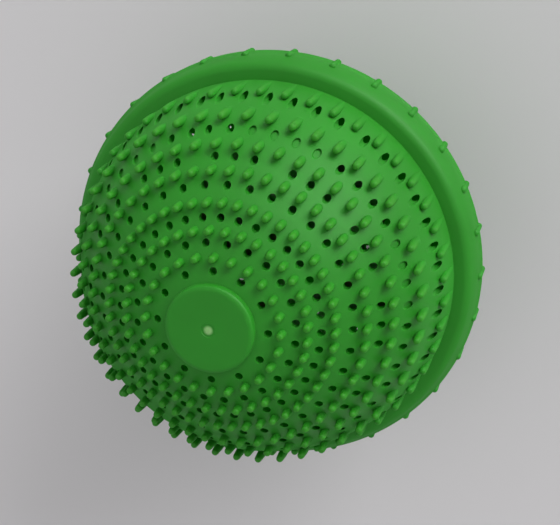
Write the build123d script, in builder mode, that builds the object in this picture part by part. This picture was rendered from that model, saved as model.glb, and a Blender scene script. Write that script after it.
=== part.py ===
from build123d import *
import math
import os

# A perforated wash ball made of two like half shells that push together at the equator.
# All lengths are millimetres. Z = 0 is the joint plane and +Z runs to the front pole.

# Dome wall, in flat facets. Their edges run between the nub rings.
dome_radius = 43.6
dome_rise = 3.5
wall = 2.0
shell_sides = 48
dome_ring_shares = [0.998, 0.9185, 0.8084, 0.7054, 0.585, 0.4633, 0.3532, 0.200]
cavity_sides = 24
cavity_ring_shares = [0.9995, 0.929, 0.815, 0.652, 0.470, 0.200]

# Equator band
band_radius = 48.9
band_height = 7.0
band_wall = 2.2
shoulder_radius = 2.2
shoulder_turn = 60.0
flank_steps = 2
shoulder_steps = 2

# Flat disc at each pole
disc_radius = 9.4
disc_stand = 0.9
disc_edge = 0.7
disc_sides = 24

# Nubs on the dome, drawn along Z: ring radius as a share of the dome's, count, first angle, reach
nub_radius = 0.85
nub_sides = 3
nub_root = 1.0
nub_ring_shares = [
    (0.330, 24, 0.0, 2.2),
    (0.445, 36, 5.0, 2.2),
    (0.560, 48, 0.0, 2.2),
    (0.688, 48, 0.0, 2.2),
    (0.791, 48, 0.0, 2.2),
    (0.899, 48, 0.0, 2.2),
    (0.977, 48, 0.0, 1.0),
]

# Nubs on the band
band_nub_radius = 0.9
band_nub_reach = 49.6
band_nub_count = 30
band_nub_start = 3.0
band_nub_height = 3.5

# Holes along Z: ring radius as a share of the dome's, count and first angle
hole_radius = 0.85
hole_sides = 3
hole_ring_shares = [(0.268, 12, 0.0), (0.390, 24, 7.5)]

# Tongues and seats that join the two halves
joint_lobes = 6
tongue_centre = 18.0
seat_centre = 48.0
tongue_inner = 35.2
tongue_outer = 38.0
tongue_angle = 29.0
tongue_drop = 8.0
tongue_lead = 0.6
fit_gap = 0.1
seat_start = 1.0
seat_reach = 9.0

# Magnet pocket behind each pole disc
magnet_radius = 7.5
magnet_thickness = 3.0
magnet_gap = 0.1
plug_length = 1.5
plug_gap = 0.02
cap_flange = 0.8
cap_overlap = 1.0
pocket_floor = 2.4

# Loose ceramic beads lying in the rear half: ring angle from the pole and count
bead_radius = 4.0
bead_gap = 1.2
bead_sides = 6
bead_waist_share = 0.6
bead_pole_share = 0.8
bead_rings = [(21.5, 10), (34.4, 14), (47.3, 20)]
bead_kinds = ["white", "grey", "brown", "green"]


def corner_radius(round_radius, sides):
    """Corner radius of a regular polygon with the area of a circle of the given radius."""
    return round_radius * math.sqrt(2 * math.pi / (sides * math.sin(2 * math.pi / sides)))


# Values worked out from the sizes above
inner_radius = dome_radius - wall
disc_top = dome_rise + dome_radius + disc_stand
channel_top = band_height - band_wall
channel_radius = band_radius - band_wall
flank_turn = 90.0 - shoulder_turn
shoulder_centre_z = band_height - shoulder_radius
shoulder_end_z = shoulder_centre_z + shoulder_radius * math.sin(math.radians(flank_turn))
flank_radius = shoulder_end_z / math.sin(math.radians(flank_turn))
flank_centre_r = band_radius - flank_radius
land_radius = flank_centre_r + (flank_radius - shoulder_radius) * math.cos(math.radians(flank_turn))
nub_corner = corner_radius(nub_radius, nub_sides)
band_nub_corner = corner_radius(band_nub_radius, nub_sides)
hole_corner = corner_radius(hole_radius, hole_sides)
seat_inner = tongue_outer + fit_gap
pocket_radius = magnet_radius + magnet_gap
pocket_top = disc_top - pocket_floor
plug_top = pocket_top - magnet_thickness
boss_face = plug_top - plug_length
bead_orbit = inner_radius - bead_radius - bead_gap


def height_at(radius, sphere):
    """Height above the joint plane of a dome of the given sphere radius, at a distance from the axis."""
    return dome_rise + math.sqrt(sphere**2 - radius**2)


def dome_profile(sphere, shares):
    """Ring radius and height of each edge loop of a dome, from its foot up."""
    return [(share * sphere, height_at(share * sphere, sphere)) for share in shares]


def frusta(profile, sides):
    """Lower radius, lower height, rise and side slope of each band of flat facets up a profile."""
    bands = []
    for (low, base), (high, top) in zip(profile, profile[1:]):
        inset = (low - high) * math.cos(math.pi / sides)
        bands.append((low, base, top - base, math.degrees(math.atan2(inset, top - base))))
    return bands


def lobe_sketch(inner, outer, centre):
    """Faceted ring sectors, one for each joint lobe, the first at the given angle."""
    half = math.radians(tongue_angle / 2)
    far = (2 * outer * math.cos(half), 2 * outer * math.sin(half))
    near = (inner * math.cos(half) / 2, inner * math.sin(half) / 2)
    with BuildSketch() as lobes:
        with PolarLocations(0, joint_lobes, start_angle=centre):
            Polygon((near[0], -near[1]), (far[0], -far[1]), far, near, align=None)
        RegularPolygon(outer, shell_sides, rotation=180 / shell_sides, mode=Mode.INTERSECT)
        RegularPolygon(inner, shell_sides, rotation=180 / shell_sides, mode=Mode.SUBTRACT)
    return lobes.sketch


tongue_lobes = lobe_sketch(tongue_inner, tongue_outer, tongue_centre)
tongue_tip_lobes = lobe_sketch(tongue_inner, tongue_outer - tongue_lead, tongue_centre)
seat_lobes = lobe_sketch(seat_inner, inner_radius, seat_centre)

# Outline of the band: a barrelled flank and a round shoulder, each in short straight steps
with BuildLine() as band_line:
    flank = CenterArc((flank_centre_r, 0), flank_radius, 0, flank_turn)
    shoulder = CenterArc((land_radius, shoulder_centre_z), shoulder_radius, flank_turn, shoulder_turn)
band_points = [flank @ (step / flank_steps) for step in range(flank_steps)]
band_points += [shoulder @ (step / shoulder_steps) for step in range(shoulder_steps + 1)]
band_profile = [(point.X, point.Y) for point in band_points]

# The hollow inside one half. The magnet boss and the tongues stay standing in it.
with BuildPart() as hollow:
    with BuildSketch():
        RegularPolygon(channel_radius, shell_sides, rotation=180 / shell_sides)
    extrude(amount=channel_top)
    for ring, base, rise, slope in frusta(dome_profile(inner_radius, cavity_ring_shares), cavity_sides):
        with BuildSketch(Plane.XY.offset(base)):
            RegularPolygon(ring, cavity_sides)
        extrude(amount=rise, taper=slope)
    with BuildSketch(Plane.XY.offset(channel_top)):
        RegularPolygon(cavity_ring_shares[0] * inner_radius, cavity_sides)
    extrude(amount=wall)
    with BuildSketch(Plane.XY.offset(boss_face)):
        RegularPolygon(disc_radius, disc_sides)
    extrude(amount=disc_radius, mode=Mode.SUBTRACT)
    with BuildSketch():
        add(tongue_lobes)
    extrude(amount=dome_radius, mode=Mode.SUBTRACT)

# Nubs stand parallel to the pole axis, so that the moulding draws straight off.
with BuildPart() as nubs:
    for share, count, first, reach in nub_ring_shares:
        ring = share * dome_radius
        root = max(height_at(min(ring + nub_corner, dome_radius), dome_radius), band_height) - nub_root
        with BuildSketch(Plane.XY.offset(root)):
            with PolarLocations(ring, count, start_angle=first):
                RegularPolygon(nub_corner, nub_sides, rotation=180)
        extrude(amount=height_at(ring, dome_radius + reach) - root, clean=False)
    with BuildSketch():
        with PolarLocations(band_nub_reach - band_nub_corner / 2, band_nub_count, start_angle=band_nub_start):
            RegularPolygon(band_nub_corner, nub_sides, rotation=180)
    extrude(amount=band_nub_height, clean=False)

# One half shell. Both halves come from this moulding.
with BuildPart() as half_shell:
    for ring, base, rise, slope in frusta(band_profile, shell_sides):
        with BuildSketch(Plane.XY.offset(base)):
            RegularPolygon(ring, shell_sides, rotation=180 / shell_sides)
        extrude(amount=rise, taper=slope)
    for ring, base, rise, slope in frusta(dome_profile(dome_radius, dome_ring_shares), shell_sides):
        with BuildSketch(Plane.XY.offset(base)):
            RegularPolygon(ring, shell_sides, rotation=180 / shell_sides)
        extrude(amount=rise, taper=slope)

    # Raised disc at the pole, with the boss of the magnet pocket behind it
    with BuildSketch(Plane.XY.offset(boss_face)):
        RegularPolygon(disc_radius, disc_sides)
    extrude(amount=disc_top - boss_face)
    chamfer(half_shell.faces().sort_by(Axis.Z)[-1].edges(), length=disc_edge)

    add(nubs.part, clean=False)
    add(hollow.part, mode=Mode.SUBTRACT, clean=False)

    # Tongues that reach into the other half, thinner at the tip to find their way in
    with BuildSketch(Plane.XY.offset(-tongue_drop + tongue_lead)):
        add(tongue_lobes)
    extrude(amount=tongue_drop - tongue_lead + band_height, clean=False)
    with BuildSketch(Plane.XY.offset(-tongue_drop)):
        add(tongue_tip_lobes)
    extrude(amount=tongue_lead, clean=False)

    # Seats on the wall, where the other half's tongues come to lie
    with BuildSketch(Plane.XY.offset(seat_start)):
        add(seat_lobes)
    extrude(amount=seat_reach - seat_start, clean=False)

    # Pocket for the magnet, open to the inside
    with BuildSketch(Plane.XY.offset(boss_face)):
        Circle(pocket_radius)
    extrude(amount=pocket_top - boss_face, mode=Mode.SUBTRACT)

    # Holes, drilled along the pole axis like the nubs
    with BuildSketch():
        for share, count, first in hole_ring_shares:
            with PolarLocations(share * dome_radius, count, start_angle=first):
                RegularPolygon(hole_corner, hole_sides, rotation=180)
    extrude(amount=disc_top, mode=Mode.SUBTRACT, clean=False)

# Magnet and the plug that closes its pocket
with BuildPart() as magnet:
    with BuildSketch(Plane.XY.offset(plug_top)):
        Circle(magnet_radius)
    extrude(amount=magnet_thickness)

with BuildPart() as magnet_cap:
    with BuildSketch(Plane.XY.offset(boss_face - cap_flange)):
        Circle(pocket_radius + cap_overlap)
    extrude(amount=cap_flange)
    with BuildSketch(Plane.XY.offset(boss_face)):
        Circle(pocket_radius - plug_gap)
    extrude(amount=plug_length)

# The rear half is the front one turned over about a level axis midway between a tongue and a seat.
turn_azimuth = math.radians((tongue_centre + seat_centre) / 2)
turn_axis = Axis((0, 0, 0), (math.cos(turn_azimuth), math.sin(turn_azimuth), 0))
pieces = {}
for name, form in [("shell", half_shell), ("magnet", magnet), ("magnet_cap", magnet_cap)]:
    with BuildPart() as front_piece:
        add(form.part)
    with BuildPart() as rear_piece:
        add(form.part.rotate(turn_axis, 180))
    pieces["front_" + name] = front_piece.part
    pieces["rear_" + name] = rear_piece.part

# One ceramic bead, facets kept few because many of them lie hidden in the ball
bead_profile = [(bead_radius, 0), (bead_radius * bead_waist_share, bead_radius * bead_pole_share)]
with BuildPart() as bead:
    for ring, base, rise, slope in frusta(bead_profile, bead_sides):
        with BuildSketch(Plane.XY.offset(base)):
            RegularPolygon(ring, bead_sides)
        extrude(amount=rise, taper=slope)
    mirror(about=Plane.XY)

bead_places = []
for ring_angle, count in bead_rings:
    tilt = math.radians(ring_angle)
    reach = bead_orbit * math.sin(tilt)
    level = -dome_rise - bead_orbit * math.cos(tilt)
    for index in range(count):
        spin = 2 * math.pi * index / count
        bead_places.append((reach * math.cos(spin), reach * math.sin(spin), level))

for kind_index, kind in enumerate(bead_kinds):
    with BuildPart() as bead_group:
        with Locations(*bead_places[kind_index::len(bead_kinds)]):
            add(bead.part)
    pieces[kind + "_ceramic_beads"] = bead_group.part

os.makedirs("parts", exist_ok=True)
for name, piece in pieces.items():
    piece.label = name
    export_step(piece, "parts/" + name + ".step")
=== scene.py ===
"""Looks of a perforated wash ball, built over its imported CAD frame.

The ball is two like half mouldings, each a thin dome with nubs and drawn holes, a wide band at
the equator, tongues that push into the other half, a magnet behind each pole disc, and loose
ceramic beads in the rear half. Sizes are millimetres in the classes and metres in the meshes.
"""
import logging
import math
from dataclasses import dataclass, field
from enum import Enum

import bmesh
import bpy
from bpy.types import ID, Material, Mesh, Node, NodeInputs, NodeSocket, NodeTree, Object
from mathutils import Matrix, Vector


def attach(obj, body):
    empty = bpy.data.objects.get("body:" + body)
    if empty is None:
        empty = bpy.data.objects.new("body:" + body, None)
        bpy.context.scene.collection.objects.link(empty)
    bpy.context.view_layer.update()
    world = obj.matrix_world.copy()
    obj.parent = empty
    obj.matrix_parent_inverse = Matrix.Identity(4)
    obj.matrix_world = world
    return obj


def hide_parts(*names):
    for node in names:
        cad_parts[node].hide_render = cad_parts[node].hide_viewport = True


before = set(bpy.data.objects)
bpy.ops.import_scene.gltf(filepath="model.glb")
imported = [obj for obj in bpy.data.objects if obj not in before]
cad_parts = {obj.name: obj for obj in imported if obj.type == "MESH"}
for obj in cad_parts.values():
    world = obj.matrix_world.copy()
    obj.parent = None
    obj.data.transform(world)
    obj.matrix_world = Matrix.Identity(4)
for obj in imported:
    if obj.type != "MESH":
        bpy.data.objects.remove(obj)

LOG = logging.getLogger("wash_ball")
MM = 0.001
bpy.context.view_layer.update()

# The dome's outer sphere, in millimetres: its radius and the height of its centre
DOME_RADIUS = 43.6
DOME_RISE = 3.5

Colour = tuple[float, float, float]
Point = tuple[float, float, float]
Outline = list[tuple[float, float]]


# Node trees


class Kind(Enum):
    """Types of the groups' own sockets."""

    FLOAT = "NodeSocketFloat"
    INT = "NodeSocketInt"
    COLOUR = "NodeSocketColor"
    GEOMETRY = "NodeSocketGeometry"
    OBJECT = "NodeSocketObject"
    MATERIAL = "NodeSocketMaterial"


class NodeNetwork:
    """Adds nodes to a tree and feeds their inputs."""

    def __init__(self, tree: NodeTree) -> None:
        """Keep the tree to work in."""
        self.tree = tree

    def feed(self, target: NodeSocket, value: object) -> None:
        """Give an input what it takes.

        Args:
            target: The input.
            value: A socket to link to it, or a plain value.
        """
        if isinstance(value, NodeSocket):
            self.tree.links.new(value, target)
        else:
            target.default_value = value

    def node(self, kind: str, inputs: dict[str | int, object] | None = None, **settings: object) -> Node:
        """Add a node.

        Args:
            kind: Type of the node.
            inputs: What its inputs take, by their names or places.
            **settings: Its plain properties, which are set first.

        Returns:
            The new node.
        """
        made = self.tree.nodes.new(kind)
        for key, value in settings.items():
            setattr(made, key, value)
        for place, value in (inputs or {}).items():
            self.feed(made.inputs[place], value)
        return made

    def math(self, operation: str, *operands: object) -> NodeSocket:
        """Add a math node.

        Args:
            operation: The node's operation.
            *operands: A socket or a number for each operand.

        Returns:
            The result.
        """
        return self.node("ShaderNodeMath", dict(enumerate(operands)), operation=operation).outputs[0]

    def ramp(self, value: NodeSocket, start: float, end: float, low: float = 0.0, high: float = 1.0) -> NodeSocket:
        """Map a value linearly and hold it outside its range.

        Args:
            value: The value.
            start: Where the range begins.
            end: Where it ends, which may be below the start.
            low: What comes out at the start.
            high: What comes out at the end.

        Returns:
            The mapped value.
        """
        inputs = {"Value": value, "From Min": start, "From Max": end, "To Min": low, "To Max": high}
        return self.node("ShaderNodeMapRange", inputs).outputs["Result"]

    def mix(self, factor: NodeSocket, first: object, second: object) -> NodeSocket:
        """Blend two colours.

        Args:
            factor: Share of the second colour.
            first: A socket, or a colour with its alpha.
            second: The same.

        Returns:
            The blended colour.
        """
        inputs = {"Factor": factor, "A": first, "B": second}
        return self.node("ShaderNodeMix", inputs, data_type="RGBA").outputs["Result"]


class NodeGroup(NodeNetwork):
    """A node group with named inputs and outputs."""

    def __init__(self, name: str, tree_type: str = "ShaderNodeTree") -> None:
        """Start an empty group.

        Args:
            name: Name of the group.
            tree_type: Type of its tree.
        """
        super().__init__(bpy.data.node_groups.new(name, tree_type))
        self.inlet = self.node("NodeGroupInput")
        self.outlet = self.node("NodeGroupOutput")

    def add_input(self, name: str, kind: Kind) -> NodeSocket:
        """Add a named input.

        Args:
            name: Name of the socket.
            kind: Its type.

        Returns:
            The socket inside the group that gives the input's value.
        """
        self.tree.interface.new_socket(name, in_out="INPUT", socket_type=kind.value)
        return self.inlet.outputs[name]

    def add_output(self, name: str, kind: Kind, source: NodeSocket) -> None:
        """Add a named output.

        Args:
            name: Name of the socket.
            kind: Its type.
            source: What it puts out.
        """
        self.tree.interface.new_socket(name, in_out="OUTPUT", socket_type=kind.value)
        self.feed(self.outlet.inputs[name], source)


# Finishes


def object_noise(group: NodeGroup, detail: float, roughness: float) -> NodeSocket:
    """Noise on Object coordinates, with its scale as an input of the group.

    Args:
        group: The group to work in.
        detail: Number of finer layers.
        roughness: Weight of each finer layer.

    Returns:
        The noise, around one half.
    """
    inputs = {
        "Vector": group.node("ShaderNodeTexCoord").outputs["Object"],
        "Scale": group.add_input("Scale", Kind.FLOAT),
        "Detail": detail,
        "Roughness": roughness,
    }
    return group.node("ShaderNodeTexNoise", inputs).outputs["Fac"]


def fine_grain_group() -> NodeTree:
    """Fine moulded or sintered grain.

    Returns:
        A group with the input Scale and the output Height.
    """
    group = NodeGroup("fine_grain")
    group.add_output("Height", Kind.FLOAT, object_noise(group, detail=3.0, roughness=0.6))
    return group.tree


def mottle_group() -> NodeTree:
    """Slow drift between two colours, as pigment leaves in a moulding or a fired bead.

    Returns:
        A group with the inputs Light, Deep and Scale and the outputs Colour and Mask.
    """
    group = NodeGroup("pigment_mottle")
    light = group.add_input("Light", Kind.COLOUR)
    deep = group.add_input("Deep", Kind.COLOUR)
    drift = group.ramp(object_noise(group, detail=4.0, roughness=0.5), start=0.3, end=0.7)
    group.add_output("Colour", Kind.COLOUR, group.mix(drift, deep, light))
    group.add_output("Mask", Kind.FLOAT, drift)
    return group.tree


@dataclass(frozen=True)
class MouldingMasks:
    """Where the green moulding takes a painted highlight on its pegs and a painted glow inside the shell, and
    where its gate scar lies, in millimetres of the ball's own frame.

    Attributes:
        peg_light_from: Height over the dome where the pegs' painted highlight begins.
        peg_light_full: Height over the dome where it is full.
        above_band: Height over the joint plane that clears the band.
        beyond_disc: Distance from the pole axis that clears the disc.
        disc_level: Height over the joint plane that only the disc reaches.
        gate_full: Distance from the pole axis where the gate scar is full.
        gate_rim: Distance from the pole axis where it ends.
        inner_faces: Distance from the dome's centre below which a face is inside the shell and takes the painted
            glow.
    """

    peg_light_from: float = 0.6
    peg_light_full: float = 1.9
    above_band: float = 7.4
    beyond_disc: float = 10.0
    disc_level: float = 46.0
    gate_full: float = 0.6
    gate_rim: float = 1.1
    inner_faces: float = 42.6

    def build(self) -> NodeTree:
        """Make the group of masks.

        Returns:
            A group with the outputs Mask for the painted highlight on the free-standing pegs, Gate for
            the scar on the disc and Inside for the faces inside the shell, which take the painted glow.
        """
        group = NodeGroup("raised_tips")

        def length(first: NodeSocket, second: NodeSocket) -> NodeSocket:
            """Length of a vector with two parts."""
            squares = [group.math("POWER", part, 2.0) for part in (first, second)]
            return group.math("SQRT", group.math("ADD", *squares))

        place = group.node("ShaderNodeTexCoord").outputs["Object"]
        parts = group.node("ShaderNodeSeparateXYZ", {0: place}).outputs
        upright = group.math("ABSOLUTE", parts["Z"])
        across = length(parts["X"], parts["Y"])
        distance = length(group.math("SUBTRACT", upright, DOME_RISE * MM), across)
        over_dome = group.math("SUBTRACT", distance, DOME_RADIUS * MM)
        # Painted highlight: pegs that stand clear of the dome take a lighter colour for the light they catch
        pegs = group.ramp(over_dome, self.peg_light_from * MM, self.peg_light_full * MM)
        clears_band = group.math("GREATER_THAN", upright, self.above_band * MM)
        clears_disc = group.math("GREATER_THAN", across, self.beyond_disc * MM)
        on_dome = group.math("MULTIPLY", clears_band, clears_disc)
        scar = group.ramp(across, self.gate_rim * MM, self.gate_full * MM)
        on_disc = group.math("GREATER_THAN", upright, self.disc_level * MM)
        group.add_output("Mask", Kind.FLOAT, group.math("MULTIPLY", pegs, on_dome))
        group.add_output("Gate", Kind.FLOAT, group.math("MULTIPLY", scar, on_disc))
        group.add_output("Inside", Kind.FLOAT, group.math("LESS_THAN", distance, self.inner_faces * MM))
        return group.tree


@dataclass(frozen=True)
class Textures:
    """The shader groups that the finishes share."""

    grain: NodeTree
    mottle: NodeTree
    masks: NodeTree


def opaque(colour: Colour) -> tuple[float, float, float, float]:
    """The colour with full alpha."""
    return (*colour, 1.0)


@dataclass(frozen=True)
class Finish:
    """A finish made of drifting pigment and fine grain on a Principled shader.

    Attributes:
        name: Name of the material.
        light: Colour of the light pigment.
        deep: Colour of the deep pigment.
        mottle_scale: Scale of the drift between them.
        roughness: Middle of the roughness.
        roughness_spread: How far the drift moves it either way.
        grain_scale: Scale of the grain.
        grain_depth: Depth of the grain in millimetres.
        specular: Specular level.
        subsurface: Share of light that scatters under the surface.
        glow: Painted green glow, an emission that stands in for light coming through the wall.
        edge_dulling: Roughness added where the surface turns away.
        tips: Painted highlight colour of the pegs, for the light they catch, for a finish that takes the
            moulding's masks.
        gate: Colour of the gate scar, for the same.
    """

    name: str
    light: Colour
    deep: Colour
    mottle_scale: float
    roughness: float
    roughness_spread: float
    grain_scale: float
    grain_depth: float
    specular: float = 0.5
    subsurface: float = 0.0
    glow: float = 0.0
    edge_dulling: float = 0.0
    tips: Colour | None = None
    gate: Colour | None = None

    # Facing weights between which the edge dulling grows, and how far each colour scatters
    DULL_FROM = 0.62
    DULL_FULL = 0.85
    SCATTER_SHARES = (0.3, 1.0, 0.3)
    SCATTER_LENGTH = 2.0

    def build(self, textures: Textures) -> Material:
        """Make the material.

        Args:
            textures: The shader groups that the finishes share.

        Returns:
            The finished material.
        """
        material = bpy.data.materials.new(self.name)
        material.use_nodes = True
        net = NodeNetwork(material.node_tree)
        shader = net.tree.nodes["Principled BSDF"].inputs
        blends = {"Light": opaque(self.light), "Deep": opaque(self.deep), "Scale": self.mottle_scale}
        pigment = net.node("ShaderNodeGroup", blends, node_tree=textures.mottle).outputs
        self.colour(net, shader, pigment["Colour"], textures.masks)
        net.feed(shader["Roughness"], self.dulled_roughness(net, pigment["Mask"]))
        grain = net.node("ShaderNodeGroup", {"Scale": self.grain_scale}, node_tree=textures.grain)
        relief = {"Height": grain.outputs["Height"], "Strength": 1.0, "Distance": self.grain_depth * MM}
        net.feed(shader["Normal"], net.node("ShaderNodeBump", relief).outputs["Normal"])
        net.feed(shader["Specular IOR Level"], self.specular)
        if self.subsurface:
            net.feed(shader["Subsurface Weight"], self.subsurface)
            net.feed(shader["Subsurface Radius"], self.SCATTER_SHARES)
            net.feed(shader["Subsurface Scale"], self.SCATTER_LENGTH * MM)
        return material

    def colour(self, net: NodeNetwork, shader: NodeInputs, pigment: NodeSocket, masks: NodeTree) -> None:
        """Feed the shader's base colour, with the painted highlight on the pegs, and its painted glow.

        Args:
            net: The material's nodes.
            shader: Inputs of its Principled shader.
            pigment: The pigment's colour.
            masks: The group of the moulding's masks.
        """
        base, glow = pigment, opaque((0.0, self.glow, 0.0))
        if self.tips and self.gate:
            mask = net.node("ShaderNodeGroup", node_tree=masks).outputs
            # Painted highlight on the pegs, then the real gate scar
            base = net.mix(mask["Mask"], base, opaque(self.tips))
            base = net.mix(mask["Gate"], base, opaque(self.gate))
            # Painted glow, only on the faces inside the shell
            glow = net.mix(mask["Inside"], opaque((0.0, 0.0, 0.0)), glow)
        net.feed(shader["Base Color"], base)
        if self.glow:
            net.feed(shader["Emission Color"], glow)
            net.feed(shader["Emission Strength"], 1.0)

    def dulled_roughness(self, net: NodeNetwork, drift: NodeSocket) -> NodeSocket:
        """Roughness that drifts with the pigment and grows towards the outline.

        Args:
            net: The material's nodes.
            drift: Share of the light pigment.

        Returns:
            The roughness.
        """
        low, high = self.roughness - self.roughness_spread, self.roughness + self.roughness_spread
        drifting = net.ramp(drift, 0.0, 1.0, low, high)
        if not self.edge_dulling:
            return drifting
        facing = net.node("ShaderNodeLayerWeight").outputs["Facing"]
        return net.math("ADD", drifting, net.ramp(facing, self.DULL_FROM, self.DULL_FULL, 0.0, self.edge_dulling))


class Pigment(Enum):
    """The four sorts of ceramic bead."""

    WHITE = "white"
    GREY = "grey"
    BROWN = "brown"
    GREEN = "green"


# Painted light in the moulding: tips is a painted highlight on the pegs and glow a painted glow inside the shell
GREEN = Finish(
    "green_moulding", light=(0.020, 0.240, 0.014), deep=(0.017, 0.208, 0.011), mottle_scale=45.0,
    roughness=0.54, roughness_spread=0.05, grain_scale=900.0, grain_depth=0.02, specular=0.28,
    subsurface=0.35, glow=0.022, edge_dulling=0.45, tips=(0.028, 0.236, 0.012), gate=(0.24, 0.48, 0.17),
)
# Painted shade: the holes' walls take a dark green that stands in for the shade in the bores, with a painted glow
PAINTED_BORE_SHADE = Finish(
    "shaded_bores", light=(0.004, 0.10, 0.002), deep=(0.003, 0.08, 0.001), mottle_scale=60.0,
    roughness=0.7, roughness_spread=0.05, grain_scale=1200.0, grain_depth=0.02, specular=0.05, glow=0.026,
)
CAP_GREEN = Finish(
    "cap_moulding", light=(0.05, 0.30, 0.07), deep=(0.04, 0.25, 0.05), mottle_scale=60.0,
    roughness=0.45, roughness_spread=0.05, grain_scale=1200.0, grain_depth=0.02,
)
FERRITE = Finish(
    "sintered_ferrite", light=(0.055, 0.055, 0.06), deep=(0.03, 0.03, 0.033), mottle_scale=300.0,
    roughness=0.62, roughness_spread=0.1, grain_scale=2500.0, grain_depth=0.03,
)
CERAMIC_COLOURS = {
    Pigment.WHITE: ((0.80, 0.78, 0.70), (0.70, 0.67, 0.58)),
    Pigment.GREY: ((0.30, 0.30, 0.29), (0.21, 0.21, 0.20)),
    Pigment.BROWN: ((0.26, 0.13, 0.07), (0.17, 0.08, 0.045)),
    Pigment.GREEN: ((0.38, 0.52, 0.38), (0.28, 0.42, 0.29)),
}
CERAMICS = {
    sort: Finish(
        sort.value + "_ceramic", light, deep, mottle_scale=250.0,
        roughness=0.7, roughness_spread=0.08, grain_scale=2200.0, grain_depth=0.04,
    )
    for sort, (light, deep) in CERAMIC_COLOURS.items()
}


# Geometry Nodes


@dataclass(frozen=True)
class Ring:
    """One ring of nubs or holes, seen along the pole axis. Angles are degrees.

    Attributes:
        radius: Distance from the pole axis.
        count: Number of places on the ring.
        first: Angle of the first place.
        group: Number of neighbours that shift together.
        shift: How far each group turns, every other one the other way.
        run: Number of neighbours in a run.
        run_phase: How many places the first run starts ahead.
        run_cycle: Number of runs after which the pattern repeats.
        run_keep: How many runs of each cycle are kept.
    """

    radius: float
    count: int
    first: float = 0.0
    group: int = 1
    shift: float = 0.0
    run: int = 1
    run_phase: int = 0
    run_cycle: int = 1
    run_keep: int = 1

    def inputs(self, height: float) -> dict[str | int, object]:
        """What the group ring_points takes to draw this ring at a height in millimetres."""
        return {
            "Radius": self.radius * MM, "Count": self.count, "First Angle": math.radians(self.first),
            "Group Size": self.group, "Group Shift": math.radians(self.shift),
            "Run Length": self.run, "Run Phase": self.run_phase,
            "Run Cycle": self.run_cycle, "Runs Kept": self.run_keep, "Height": height * MM,
        }


class GeometryTree(NodeGroup):
    """A Geometry Nodes tree."""

    def __init__(self, name: str) -> None:
        """Start an empty tree."""
        super().__init__(name, "GeometryNodeTree")

    def form_of(self, source: NodeSocket) -> NodeSocket:
        """Geometry of an object input."""
        return self.node("GeometryNodeObjectInfo", {"Object": source}).outputs["Geometry"]

    def combine(self, operation: str, base: NodeSocket, other: NodeSocket) -> NodeSocket:
        """Join or cut two closed forms.

        Args:
            operation: UNION or DIFFERENCE.
            base: The form to build on.
            other: The form to add, or to cut away.

        Returns:
            The combined geometry.
        """
        made = self.node("GeometryNodeMeshBoolean", operation=operation, solver="MANIFOLD")
        # A union takes both forms at its second input
        self.feed(made.inputs[0 if operation == "DIFFERENCE" else 1], base)
        self.feed(made.inputs[1], other)
        return made.outputs[0]

    def move(self, geometry: NodeSocket, offset: object) -> NodeSocket:
        """Shift geometry.

        Args:
            geometry: The geometry.
            offset: A vector socket, or a vector in metres.

        Returns:
            The shifted geometry.
        """
        return self.node("GeometryNodeTransform", {"Geometry": geometry, "Translation": offset}).outputs[0]

    def realise(self, geometry: NodeSocket) -> NodeSocket:
        """Make instances real."""
        return self.node("GeometryNodeRealizeInstances", {0: geometry}).outputs[0]

    def dress(self, geometry: NodeSocket, finish: NodeSocket, selection: NodeSocket | None = None) -> NodeSocket:
        """Give geometry a material.

        Args:
            geometry: The geometry.
            finish: The material.
            selection: The faces that take it, or all of them without one.

        Returns:
            The dressed geometry.
        """
        made = self.node("GeometryNodeSetMaterial", {"Geometry": geometry, "Material": finish})
        if selection is not None:
            self.feed(made.inputs["Selection"], selection)
        return made.outputs[0]

    def scatter(self, points: NodeTree, rings: list[tuple[Ring, float]], form: NodeSocket) -> NodeSocket:
        """Put a form on every point of some rings.

        Args:
            points: The group ring_points.
            rings: Each ring with the height that its points stand at, in millimetres.
            form: Geometry to place.

        Returns:
            The real geometry.
        """
        joined = self.node("GeometryNodeJoinGeometry")
        for ring, height in rings:
            one = self.node("GeometryNodeGroup", ring.inputs(height), node_tree=points)
            self.feed(joined.inputs[0], one.outputs[0])
        placed = self.node("GeometryNodeInstanceOnPoints", {"Points": joined.outputs[0], "Instance": form})
        return self.realise(placed.outputs[0])


def ring_points_tree() -> NodeTree:
    """Points round the pole axis, in groups that shift together and with some runs left out.

    Returns:
        A group with the sizes of one ring as its inputs and its points as geometry.
    """
    made = GeometryTree("ring_points")
    radius, first, shift, height = (
        made.add_input(name, Kind.FLOAT) for name in ("Radius", "First Angle", "Group Shift", "Height")
    )
    count, size, run, phase, cycle, keep = (
        made.add_input(name, Kind.INT)
        for name in ("Count", "Group Size", "Run Length", "Run Phase", "Run Cycle", "Runs Kept")
    )
    circle = made.node("GeometryNodeMeshCircle", {"Vertices": count}).outputs["Mesh"]
    index = made.node("GeometryNodeInputIndex").outputs[0]
    turned = made.math("ADD", made.math("MULTIPLY", index, made.math("DIVIDE", math.tau, count)), first)
    odd = made.math("MODULO", made.math("FLOOR", made.math("DIVIDE", index, size)), 2.0)
    side = made.math("SUBTRACT", made.math("MULTIPLY", odd, 2.0), 1.0)
    angle = made.math("ADD", turned, made.math("MULTIPLY", side, shift))
    place = made.node("ShaderNodeCombineXYZ", {
        "X": made.math("MULTIPLY", radius, made.math("COSINE", angle)),
        "Y": made.math("MULTIPLY", radius, made.math("SINE", angle)),
        "Z": height,
    })
    moved = made.node("GeometryNodeSetPosition", {"Geometry": circle, "Position": place.outputs[0]})
    runs = made.math("FLOOR", made.math("DIVIDE", made.math("ADD", index, phase), run))
    # Half a step keeps the comparison of whole numbers clear of rounding
    left_out = made.math("GREATER_THAN", made.math("ADD", made.math("MODULO", runs, cycle), 0.5), keep)
    choice = {"Geometry": moved.outputs[0], "Selection": left_out}
    thinned = made.node("GeometryNodeDeleteGeometry", choice, domain="POINT")
    made.add_output("Geometry", Kind.GEOMETRY, thinned.outputs[0])
    return made.tree


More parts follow.
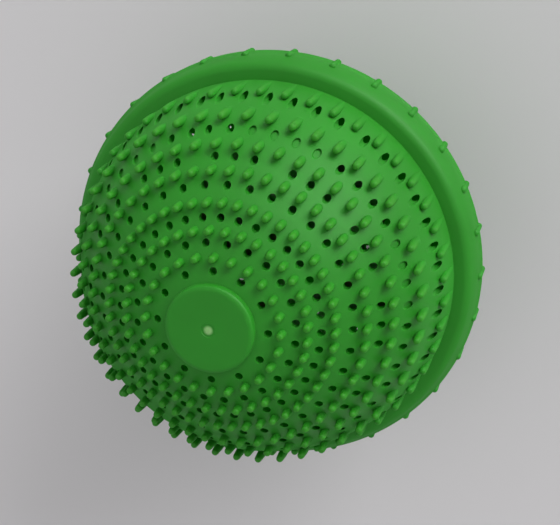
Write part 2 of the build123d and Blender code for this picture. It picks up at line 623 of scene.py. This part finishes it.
def apply_tree(carrier: Object, tree: NodeTree, values: dict[str, object]) -> Mesh:
    """Run a tree on an object and return the result as a plain mesh.

    Args:
        carrier: Object whose mesh goes into the tree.
        tree: The Geometry Nodes tree.
        values: Input values by socket name.

    Returns:
        The evaluated mesh, with the modifier taken off the carrier.
    """
    modifier = carrier.modifiers.new(tree.name, "NODES")
    modifier.node_group = tree
    for item in tree.interface.items_tree:
        if item.item_type == "SOCKET" and item.in_out == "INPUT" and item.name in values:
            modifier[item.identifier] = values[item.name]
    graph = bpy.context.evaluated_depsgraph_get()
    graph.update()
    result = bpy.data.meshes.new_from_object(carrier.evaluated_get(graph))
    carrier.modifiers.remove(modifier)
    return result


# Meshes


def new_object(name: str, data: ID) -> Object:
    """Link a new object to the scene, at the origin.

    Args:
        name: Name of the object.
        data: Its mesh, camera or light.

    Returns:
        The object.
    """
    made = bpy.data.objects.new(name, data)
    bpy.context.scene.collection.objects.link(made)
    return made


def polar_point(radius: float, turn: float, height: float) -> Point:
    """Point in metres at a radius and height in millimetres and an angle in radians."""
    return radius * MM * math.cos(turn), radius * MM * math.sin(turn), height * MM


def closed_mesh(name: str, form: bmesh.types.BMesh) -> Mesh:
    """Keep a closed form as a mesh with outward faces, and free the form.

    Args:
        name: Name of the mesh.
        form: The closed form.

    Returns:
        The mesh.
    """
    bmesh.ops.recalc_face_normals(form, faces=form.faces)
    mesh = bpy.data.meshes.new(name)
    form.to_mesh(mesh)
    form.free()
    return mesh


def lathe_mesh(name: str, profile: Outline, sides: int) -> Mesh:
    """Turn a half profile about Z.

    Args:
        name: Name of the mesh.
        profile: Radius and height in millimetres, counterclockwise from axis to axis.
        sides: Number of steps round the axis.

    Returns:
        A closed mesh in metres with outward faces.
    """
    form = bmesh.new()
    rows: list[list[bmesh.types.BMVert]] = []
    for radius, height in profile:
        steps = range(sides if radius > 0.0 else 1)
        rows.append([form.verts.new(polar_point(radius, math.tau * step / sides, height)) for step in steps])
    for low, high in zip(rows, rows[1:]):
        for step in range(sides):
            after = step + 1
            corners = [
                low[step % len(low)], low[after % len(low)], high[after % len(high)], high[step % len(high)],
            ]
            # A row on the axis gives its one corner twice, and the face is a triangle
            form.faces.new(list(dict.fromkeys(corners)))
    return closed_mesh(name, form)


def arc_points(centre: tuple[float, float], radius: float, start: float, end: float, steps: int) -> Outline:
    """Points along an arc in the plane of radius and height.

    Args:
        centre: Radius and height of the arc's centre.
        radius: Radius of the arc.
        start: First angle, in degrees from the radius axis.
        end: Last angle.
        steps: Number of steps between them.

    Returns:
        The points, one more than the steps.
    """
    turns = [math.radians(start + (end - start) * step / steps) for step in range(steps + 1)]
    return [(centre[0] + radius * math.cos(t), centre[1] + radius * math.sin(t)) for t in turns]


@dataclass(frozen=True)
class Nub:
    """A peg that hangs from its rounded tip at height zero, in millimetres."""

    tip: float
    foot: float
    length: float
    taper_length: float = 3.2
    sides: int = 12

    # The tip's rounding, as widths from the tip's radius and heights
    ROUNDING = ((0.05, -0.62), (-0.03, -0.34), (-0.18, -0.13), (-0.38, -0.03))

    def build(self, name: str) -> Object:
        """Make the peg as an object with the given name."""
        profile = [
            (0.0, -self.length),
            (self.foot, -self.length),
            (self.foot, -self.taper_length),
            *[(self.tip + width, height) for width, height in self.ROUNDING],
            (0.0, 0.0),
        ]
        return new_object(name, lathe_mesh(name, profile, self.sides))


@dataclass
class HalfMoulding:
    """One half shell, which serves for the front and, turned over, for the rear.

    Heights are over the joint plane. The gate sizes draw the scar at the disc's centre, a shallow dish
    round a low nib. The numbers of steps and sides set how finely the curves are cut.
    """

    dome_radius: float = DOME_RADIUS
    dome_rise: float = DOME_RISE
    wall: float = 1.4
    band_radius: float = 48.9
    band_height: float = 7.0
    band_wall: float = 2.2
    shoulder_radius: float = 2.2
    shoulder_turn: float = 60.0
    parting_chamfer: float = 0.25
    disc_radius: float = 9.4
    disc_stand: float = 0.9
    disc_loop: float = 0.3
    disc_edge: float = 0.75
    disc_edge_width: float = 1.25
    gate_dish: float = 1.5
    gate_depth: float = 0.08
    gate_nib: float = 0.95
    gate_nib_slope: float = 0.35
    gate_nib_sink: float = 0.02
    boss_face: float = 41.1
    pocket_radius: float = 7.6
    pocket_top: float = 45.6
    cut_margin: float = 1.0
    nub: Nub = Nub(tip=0.76, foot=0.98, length=11.6)
    nub_reach: float = 2.2
    rim_nub_reach: float = 1.0
    band_nub: Nub = Nub(tip=0.74, foot=0.77, length=3.5)
    band_nub_height: float = 3.5
    hole_radius: float = 0.84
    hole_start: float = 0.5
    hole_length: float = 55.0
    blind_depth: float = 0.55
    tongue_inner: float = 35.2
    tongue_outer: float = 38.0
    tongue_angle: float = 29.0
    tongue_drop: float = 8.0
    tongue_lead: float = 0.6
    tongue_azimuth: float = 18.0
    seat_azimuth: float = 48.0
    seat_clearance: float = 0.1
    seat_bury: float = 0.6
    seat_start: float = 1.0
    seat_reach: float = 9.0
    lobes: int = 6
    lobe_steps: int = 10
    sides: int = 192
    drill_sides: int = 18
    fillet_steps: int = 8
    dome_steps: int = 72
    hollow_steps: int = 48
    sharp_angle: float = 32.0
    nub_rings: list[Ring] = field(default_factory=lambda: [
        Ring(14.4, 24), Ring(19.4, 36, 5.0), Ring(24.4, 48), Ring(30.0, 48),
        Ring(34.5, 48), Ring(39.2, 48),
    ])
    rim_nub_ring: Ring = Ring(42.5, 48)
    hole_rings: list[Ring] = field(default_factory=lambda: [
        Ring(11.7, 12), Ring(17.0, 24, 7.5), Ring(21.6, 36), Ring(27.3, 36),
        Ring(32.1, 48, 22.5, run_cycle=4, run_keep=3),
        Ring(36.6, 48, 18.75, group=6, shift=0.75, run=4, run_phase=6, run_cycle=2),
        Ring(41.4, 48, 18.75, group=6, shift=0.75),
    ])
    blind_ring: Ring = Ring(36.6, 48, 18.75, group=6, shift=0.75, run=4, run_phase=2, run_cycle=2)
    band_ring: Ring = Ring(48.45, 30, 3.0)

    def height(self, radius: float, sphere: float) -> float:
        """Height of a dome of the given sphere radius at a distance from the pole axis."""
        return self.dome_rise + math.sqrt(sphere**2 - radius**2)

    def dome_arc(self, sphere: float, low: float, high_radius: float, steps: int) -> Outline:
        """Points of a dome.

        Args:
            sphere: Radius of its sphere.
            low: Height that the arc starts at.
            high_radius: Distance from the pole axis that it ends at.
            steps: Number of steps.

        Returns:
            The points from the lowest to the highest.
        """
        start = math.degrees(math.asin((low - self.dome_rise) / sphere))
        end = math.degrees(math.acos(high_radius / sphere))
        return arc_points((0.0, self.dome_rise), sphere, start, end, steps)

    def band_profile(self) -> Outline:
        """Outline of the band, from its parting chamfer over the bulging flank to the shoulder's top."""
        flank_turn = 90.0 - self.shoulder_turn
        flank_sine = math.sin(math.radians(flank_turn))
        centre_z = self.band_height - self.shoulder_radius
        flank_radius = (centre_z + self.shoulder_radius * flank_sine) / flank_sine
        flank_centre = self.band_radius - flank_radius
        land = flank_centre + (flank_radius - self.shoulder_radius) * math.cos(math.radians(flank_turn))
        start = math.degrees(math.asin(self.parting_chamfer / flank_radius))
        steps = self.fillet_steps
        return [
            (self.band_radius - self.parting_chamfer, 0.0),
            *arc_points((flank_centre, 0.0), flank_radius, start, flank_turn, steps),
            *arc_points((land, centre_z), self.shoulder_radius, flank_turn, 90.0, steps)[1:],
        ]

    def disc_profile(self) -> Outline:
        """Outline of the pole disc, from its foot on the dome to the gate scar at its centre."""
        top = self.dome_rise + self.dome_radius + self.disc_stand
        flat = self.disc_radius - self.disc_edge_width
        quarter = arc_points((0.0, 0.0), 1.0, 0.0, 90.0, self.fillet_steps)
        return [
            (self.disc_radius, self.height(self.disc_radius, self.dome_radius) + self.disc_loop),
            *[(flat + x * self.disc_edge_width, top - self.disc_edge + z * self.disc_edge) for x, z in quarter],
            (self.gate_dish, top),
            (self.gate_dish - self.gate_depth, top - self.gate_depth),
            (self.gate_nib, top - self.gate_depth),
            (self.gate_nib - self.gate_nib_slope, top - self.gate_nib_sink),
            (0.0, top),
        ]

    def outer_profile(self) -> Outline:
        """Outline of the filled half, from the joint plane on the axis to the pole."""
        crease = math.sqrt(self.dome_radius**2 - (self.band_height - self.dome_rise)**2)
        return [
            (0.0, 0.0),
            *self.band_profile(),
            (crease, self.band_height),
            *self.dome_arc(self.dome_radius, self.band_height, self.disc_radius, self.dome_steps)[1:],
            *self.disc_profile(),
        ]

    def hollow_profile(self) -> Outline:
        """Outline of the space inside, from below the joint plane to the pocket's ceiling."""
        channel = self.band_radius - self.band_wall
        top = self.band_height - self.band_wall
        return [
            (0.0, -self.cut_margin),
            (channel, -self.cut_margin),
            (channel, top),
            *self.dome_arc(self.dome_radius - self.wall, top, self.disc_radius, self.hollow_steps),
            (self.disc_radius, self.boss_face),
            (self.pocket_radius, self.boss_face),
            (self.pocket_radius, self.pocket_top),
            (0.0, self.pocket_top),
        ]

    def lobe_sections(self) -> list[tuple[float, Outline]]:
        """Cross sections of a tongue and of a seat, each with the azimuth of the first one's middle."""
        inner, outer, low, lead = self.tongue_inner, self.tongue_outer, -self.tongue_drop, self.tongue_lead
        bury = self.dome_radius - self.wall / 2
        tongue = [
            (inner + lead / 2, low), (outer - lead, low), (outer, low + lead * 2),
            (outer, self.height(outer, bury)), (inner, self.height(inner, bury)), (inner, low + lead),
        ]
        near = self.tongue_outer + self.seat_clearance
        far = self.dome_radius - self.wall + self.seat_bury
        seat = [(near, self.seat_start), (far, self.seat_start), (far, self.seat_reach), (near, self.seat_reach)]
        return [(self.tongue_azimuth, tongue), (self.seat_azimuth, seat)]

    def lobe_mesh(self) -> Mesh:
        """Tongues that reach into the other half, and the seats that take its tongues."""
        form = bmesh.new()
        sections = self.lobe_sections()
        for lobe in range(self.lobes):
            for azimuth, section in sections:
                middle = azimuth + lobe * 360 / self.lobes
                columns = []
                for step in range(self.lobe_steps + 1):
                    turn = math.radians(middle + self.tongue_angle * (step / self.lobe_steps - 0.5))
                    columns.append([form.verts.new(polar_point(r, turn, z)) for r, z in section])
                for near, far in zip(columns, columns[1:]):
                    for side in range(len(near)):
                        after = (side + 1) % len(near)
                        form.faces.new((near[side], far[side], far[after], near[after]))
                form.faces.new(columns[0])
                form.faces.new(list(reversed(columns[-1])))
        return closed_mesh("lobes", form)

    def shell_tree(self, points: NodeTree) -> NodeTree:
        """Tree that sets the nubs on the filled half, hollows it and drills it along the axis.

        Args:
            points: The group ring_points.

        Returns:
            A tree that takes the filled half and the helpers' forms.
        """
        made = GeometryTree("half_shell")
        filled = made.add_input("Geometry", Kind.GEOMETRY)
        hollow, lobes, nub, band_nub = (
            made.form_of(made.add_input(name, Kind.OBJECT))
            for name in ("Hollow", "Tongues And Seats", "Nub", "Band Nub")
        )
        hole_radius, hole_length = (made.add_input(name, Kind.FLOAT) for name in ("Hole Radius", "Hole Length"))
        plastic, bore_shade = (made.add_input(name, Kind.MATERIAL) for name in ("Plastic", "Bore Shade"))

        tips = self.dome_radius + self.nub_reach
        rows = [(ring, self.height(ring.radius, tips)) for ring in self.nub_rings]
        rim_tips = self.dome_radius + self.rim_nub_reach
        rows.append((self.rim_nub_ring, self.height(self.rim_nub_ring.radius, rim_tips)))
        nubs = made.scatter(points, rows, nub)
        band = made.scatter(points, [(self.band_ring, self.band_nub_height)], band_nub)

        rod = made.node("GeometryNodeMeshCylinder", {
            "Vertices": self.drill_sides, "Radius": hole_radius, "Depth": hole_length,
        })
        lift = made.node("ShaderNodeCombineXYZ", {"Z": made.math("MULTIPLY", hole_length, 0.5)})
        drill = made.move(rod.outputs["Mesh"], lift.outputs[0])
        rows = [(ring, self.hole_start) for ring in self.hole_rings]
        # Painted shade: the open drills carry the dark finish onto the holes' walls
        open_holes = made.scatter(points, rows, made.dress(drill, bore_shade))

        # A blind drill stops at a core just under the dome
        core = made.node("GeometryNodeMeshUVSphere", {
            "Segments": self.sides, "Rings": self.sides // 2,
            "Radius": (self.dome_radius - self.blind_depth) * MM,
        })
        seated = made.move(made.dress(core.outputs["Mesh"], plastic), (0.0, 0.0, self.dome_rise * MM))
        pits = made.scatter(points, [(self.blind_ring, self.hole_start)], made.dress(drill, plastic))
        blind_holes = made.combine("DIFFERENCE", pits, seated)

        shell = made.combine("UNION", made.dress(filled, plastic), nubs)
        shell = made.combine("UNION", shell, band)
        shell = made.combine("DIFFERENCE", shell, hollow)
        shell = made.combine("UNION", shell, lobes)
        shell = made.combine("DIFFERENCE", shell, open_holes)
        shell = made.combine("DIFFERENCE", shell, blind_holes)
        real = made.realise(shell)
        # The holes' walls keep the painted shade and every other face goes back to the plastic
        shaded_bore_faces = made.node("GeometryNodeMaterialSelection", {"Material": bore_shade}).outputs[0]
        others = made.node("FunctionNodeBooleanMath", {0: shaded_bore_faces}, operation="NOT").outputs[0]
        made.add_output("Geometry", Kind.GEOMETRY, made.dress(real, plastic, others))
        return made.tree

    def build(self, points: NodeTree, plastic: Material, bore_shade: Material) -> Mesh:
        """Make the front half's mesh.

        Args:
            points: The group ring_points.
            plastic: Finish of the moulding.
            bore_shade: Dark finish of the holes' walls, a painted shade.

        Returns:
            The mesh of one half shell, its pole towards +Z.
        """
        filled = new_object("filled_half", lathe_mesh("filled_half", self.outer_profile(), self.sides))
        helpers = {
            "Hollow": new_object("hollow", lathe_mesh("hollow", self.hollow_profile(), self.sides)),
            "Tongues And Seats": new_object("lobes", self.lobe_mesh()),
            "Nub": self.nub.build("nub"),
            "Band Nub": self.band_nub.build("band_nub"),
        }
        drill = {"Hole Radius": self.hole_radius * MM, "Hole Length": self.hole_length * MM}
        mesh = apply_tree(filled, self.shell_tree(points), {**helpers, **drill, "Plastic": plastic, "Bore Shade": bore_shade})
        for helper in (filled, *helpers.values()):
            bpy.data.objects.remove(helper)
        mesh.shade_smooth()
        mesh.set_sharp_from_angle(angle=math.radians(self.sharp_angle))
        return mesh


@dataclass
class BeadFill:
    """Loose ceramic beads that lie in the rear half, of four sorts.

    Attributes:
        radius: Radius of a bead of the CAD, in millimetres.
        orbit: Distance of the beads' centres from the dome's centre.
        smallest: Least share of the radius that a bead has.
        largest: Greatest share of it.
        subdivisions: How finely a bead is cut.
        rings: Angle from the pole and number of beads of each ring.
    """

    radius: float = 4.0
    orbit: float = 36.4
    smallest: float = 0.94
    largest: float = 0.99
    subdivisions: int = 4
    rings: list[tuple[float, int]] = field(default_factory=lambda: [(21.5, 10), (34.4, 14), (47.3, 20)])

    def places(self) -> list[Point]:
        """Centre of every bead in millimetres."""
        made = []
        for ring_angle, count in self.rings:
            tilt = math.radians(ring_angle)
            reach = self.orbit * math.sin(tilt)
            height = -DOME_RISE - self.orbit * math.cos(tilt)
            for index in range(count):
                spin = math.tau * index / count
                made.append((reach * math.cos(spin), reach * math.sin(spin), height))
        return made

    def bead_tree(self) -> NodeTree:
        """Tree that sets a bead of a slightly uneven size on every point."""
        made = GeometryTree("ceramic_beads")
        points = made.add_input("Geometry", Kind.GEOMETRY)
        radius = made.add_input("Bead Radius", Kind.FLOAT)
        seed = made.add_input("Seed", Kind.INT)
        ceramic = made.add_input("Ceramic", Kind.MATERIAL)
        ball = made.node("GeometryNodeMeshIcoSphere", {"Subdivisions": self.subdivisions, "Radius": radius})
        size = made.node("FunctionNodeRandomValue", {"Seed": seed}, data_type="FLOAT")
        limits = [socket for socket in size.inputs if socket.type == "VALUE"]
        made.feed(limits[0], self.smallest)
        made.feed(limits[1], self.largest)
        scale = next(socket for socket in size.outputs if socket.type == "VALUE")
        placed = made.node("GeometryNodeInstanceOnPoints", {
            "Points": points, "Instance": ball.outputs["Mesh"], "Scale": scale,
        })
        smooth = made.node("GeometryNodeSetShadeSmooth", {"Geometry": made.realise(placed.outputs[0])})
        made.add_output("Geometry", Kind.GEOMETRY, made.dress(smooth.outputs[0], ceramic))
        return made.tree

    def build(self, finishes: dict[Pigment, Material]) -> None:
        """Make one piece for each sort of bead and let it ride with the rear half."""
        tree = self.bead_tree()
        places = self.places()
        for index, pigment in enumerate(Pigment):
            own_places = places[index::len(Pigment)]
            mesh = bpy.data.meshes.new("bead_points")
            mesh.from_pydata([Vector(p) * MM for p in own_places], [], [])
            carrier = new_object("bead_points", mesh)
            values = {"Bead Radius": self.radius * MM, "Seed": index, "Ceramic": finishes[pigment]}
            beads = new_object(pigment.value + "_bead_fill", apply_tree(carrier, tree, values))
            bpy.data.objects.remove(carrier)
            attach(beads, "rear_half")
            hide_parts(pigment.value + "_ceramic_beads")
            LOG.info("%s with %d beads", beads.name, len(own_places))


# Studio


@dataclass(frozen=True)
class Lamp:
    """A soft, even light from far away.

    Attributes:
        name: Name of the lamp.
        direction: Where it stands, in the camera's frame.
        spread: Angle that it fills, in degrees.
        strength: Its power on a face that looks at it.
    """

    name: str
    direction: Point
    spread: float
    strength: float


@dataclass
class Studio:
    """Camera, pale floor and soft lamps, all placed from the camera's own frame.

    Attributes:
        lens: Focal length for the sensor's width, both in millimetres.
        lean: Angle between the pole axis and the line of sight, in radians.
        toward: Direction in the picture that the pole leans in.
        spin: Turn of the ball about its pole axis.
        ring_centre: Point on the pole axis in the camera's frame, in units of the camera's fit.
        unit: Length of one unit in millimetres.
        dome_offset: Distance from that point down to the dome's centre, in units.
        floor_height: Height of the floor in millimetres, just under the rear disc.
    """

    lens: float = 76.17
    sensor_width: float = 36.0
    clip_start: float = 0.01
    lean: float = 0.419291888
    toward: float = 2.29498537
    spin: float = -0.03432
    ring_centre: Point = (-0.07869, 0.02601, 6.55534)
    unit: float = 41.8
    dome_offset: float = 0.0823
    floor_height: float = -48.03
    floor_half: float = 1.5
    floor_colour: Colour = (0.655, 0.638, 0.655)
    floor_roughness: float = 0.9
    world_strength: float = 0.52
    lamps: tuple[Lamp, ...] = (
        Lamp("key", (0.72, -0.80, -0.82), spread=44.0, strength=3.1),
        Lamp("top", (0.05, -0.85, -0.80), spread=50.0, strength=0.35),
        Lamp("fill", (-0.8, 0.1, -1.0), spread=40.0, strength=0.1),
    )

    def axes(self) -> tuple[Vector, Vector, Vector]:
        """The ball's X, Y and Z axes in camera coordinates, x right, y down and z forward."""
        sideways = math.sin(self.lean)
        pole = Vector((sideways * math.cos(self.toward), sideways * math.sin(self.toward), -math.cos(self.lean)))
        right = Vector((1.0, 0.0, 0.0))
        first = (right - pole * pole.dot(right)).normalized()
        second = pole.cross(first)
        turned_x = first * math.cos(self.spin) + second * math.sin(self.spin)
        turned_y = second * math.cos(self.spin) - first * math.sin(self.spin)
        return turned_x, turned_y, pole

    def to_ball(self, vector: Vector) -> Vector:
        """Turn a direction from camera coordinates into the ball's frame."""
        return Vector([axis.dot(vector) for axis in self.axes()])

    def camera(self) -> None:
        """Stand the camera where the photograph was taken."""
        pole = self.axes()[2]
        origin = Vector(self.ring_centre) - pole * (self.dome_offset + DOME_RISE / self.unit)
        place = self.to_ball(origin) * (-self.unit * MM)
        data = bpy.data.cameras.new("photo_camera")
        data.lens = self.lens
        data.sensor_width = self.sensor_width
        data.clip_start = self.clip_start
        made = new_object("photo_camera", data)
        right = self.to_ball(Vector((1, 0, 0)))
        up = self.to_ball(Vector((0, -1, 0)))
        back = self.to_ball(Vector((0, 0, -1)))
        turn = Matrix((right, up, back)).transposed().to_4x4()
        made.matrix_world = Matrix.Translation(place) @ turn
        bpy.context.scene.camera = made

    def light(self, lamp: Lamp) -> None:
        """Hang one lamp."""
        data = bpy.data.lights.new(lamp.name, "SUN")
        data.angle = math.radians(lamp.spread)
        data.energy = lamp.strength
        made = new_object(lamp.name, data)
        way = self.to_ball(Vector(lamp.direction).normalized())
        made.location = way
        made.rotation_euler = way.to_track_quat("Z", "Y").to_euler()

    def floor(self) -> None:
        """Lay the pale floor under the ball."""
        half = self.floor_half
        height = self.floor_height * MM
        corners = [(-half, -half, height), (half, -half, height), (half, half, height), (-half, half, height)]
        mesh = bpy.data.meshes.new("floor")
        mesh.from_pydata(corners, [], [(0, 1, 2, 3)])
        made = new_object("floor", mesh)
        material = bpy.data.materials.new("pale_card")
        material.use_nodes = True
        shader = material.node_tree.nodes["Principled BSDF"]
        shader.inputs["Base Color"].default_value = opaque(self.floor_colour)
        shader.inputs["Roughness"].default_value = self.floor_roughness
        mesh.materials.append(material)

    def build(self) -> None:
        """Set up the whole studio."""
        scene = bpy.context.scene
        scene.view_settings.view_transform = "Standard"
        world = bpy.data.worlds.new("studio")
        world.use_nodes = True
        background = world.node_tree.nodes["Background"]
        background.inputs["Color"].default_value = opaque((1.0, 1.0, 1.0))
        background.inputs["Strength"].default_value = self.world_strength
        scene.world = world
        self.camera()
        self.floor()
        for lamp in self.lamps:
            self.light(lamp)


# Whole ball


@dataclass
class WashBall:
    """The whole ball, over the CAD frame.

    Attributes:
        moulding: The half shell.
        beads: The loose beads.
        turn_angle: Azimuth in degrees of the level axis that the rear half is turned over about.
    """

    moulding: HalfMoulding = field(default_factory=HalfMoulding)
    beads: BeadFill = field(default_factory=BeadFill)
    turn_angle: float = 33.0

    def build_halves(self, plastic: Material, bore_shade: Material) -> None:
        """Make the front half and turn a copy over for the rear.

        Args:
            plastic: Finish of the moulding.
            bore_shade: Dark finish of the holes' walls, a painted shade.
        """
        front_mesh = self.moulding.build(ring_points_tree(), plastic, bore_shade)
        rear_mesh = front_mesh.copy()
        turn = math.radians(self.turn_angle)
        axis = Vector((math.cos(turn), math.sin(turn), 0.0))
        rear_mesh.transform(Matrix.Rotation(math.pi, 4, axis))
        for side, mesh in (("front", front_mesh), ("rear", rear_mesh)):
            shell = new_object(side + "_half_moulding", mesh)
            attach(shell, side + "_half")
            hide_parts(side + "_shell")
            LOG.info("%s with %d faces", shell.name, len(mesh.polygons))

    def dress_pockets(self, ferrite: Material, plastic: Material) -> None:
        """Give the magnets and their caps their finishes.

        Args:
            ferrite: Finish of the magnets.
            plastic: Finish of the caps.
        """
        for side in ("front", "rear"):
            for node, finish in ((side + "_magnet", ferrite), (side + "_magnet_cap", plastic)):
                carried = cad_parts[node]
                for slot in carried.material_slots:
                    slot.material = finish
                LOG.info("%s dressed", node)

    def build(self) -> None:
        """Make every piece of the ball."""
        textures = Textures(fine_grain_group(), mottle_group(), MouldingMasks().build())
        self.build_halves(GREEN.build(textures), PAINTED_BORE_SHADE.build(textures))
        self.dress_pockets(FERRITE.build(textures), CAP_GREEN.build(textures))
        self.beads.build({kind: finish.build(textures) for kind, finish in CERAMICS.items()})


def main() -> None:
    """Build the studio and the ball."""
    logging.basicConfig(level=logging.INFO)
    Studio().build()
    WashBall().build()


if __name__ == "__main__":
    main()
